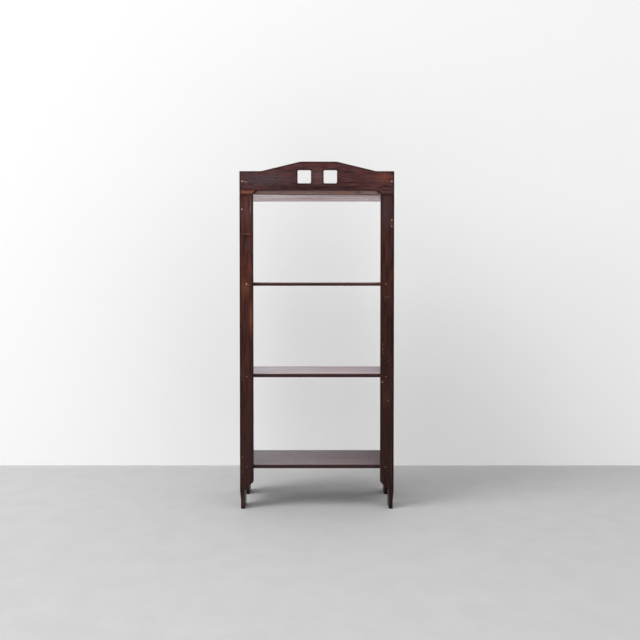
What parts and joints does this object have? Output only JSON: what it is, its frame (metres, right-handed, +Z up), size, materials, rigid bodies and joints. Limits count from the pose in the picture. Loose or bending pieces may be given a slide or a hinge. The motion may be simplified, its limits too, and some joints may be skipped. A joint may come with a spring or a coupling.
{
  "type": "bookshelf",
  "caption": "Tall open bookcase with fixed shelves between two footed side panels, front stiles and a shaped, pierced crest",
  "frame": {"origin": "Middle of the space that the bookcase fills, on the floor between its feet.", "axes": "+Z is up, the open front faces -Y and the back faces +Y, +X is to the right of a person facing the front."},
  "size_m": [0.666, 0.3012, 1.5],
  "materials": {
    "side_wood": "dark red-brown stain under worn varnish",
    "stile_wood": "dark red-brown stain under worn varnish",
    "crest_wood": "dark red-brown stain under worn varnish, with a greyer sheen",
    "shelf_wood": "dark red-brown stain under glossy varnish",
    "nail_steel": "bare domed nail heads, rubbed bright"
  },
  "bodies": {
    "root": {"left_side_panel": "side_wood", "right_side_panel": "side_wood", "left_front_stile": "stile_wood", "right_front_stile": "stile_wood", "crest_board": "crest_wood", "top_shelf": "shelf_wood", "second_shelf": "shelf_wood", "third_shelf": "shelf_wood", "bottom_shelf": "shelf_wood", "crest_nails": "nail_steel", "stile_edge_nails": "nail_steel", "shelf_front_nails": "nail_steel", "left_side_nails": "nail_steel", "right_side_nails": "nail_steel"}
  },
  "joints": []
}
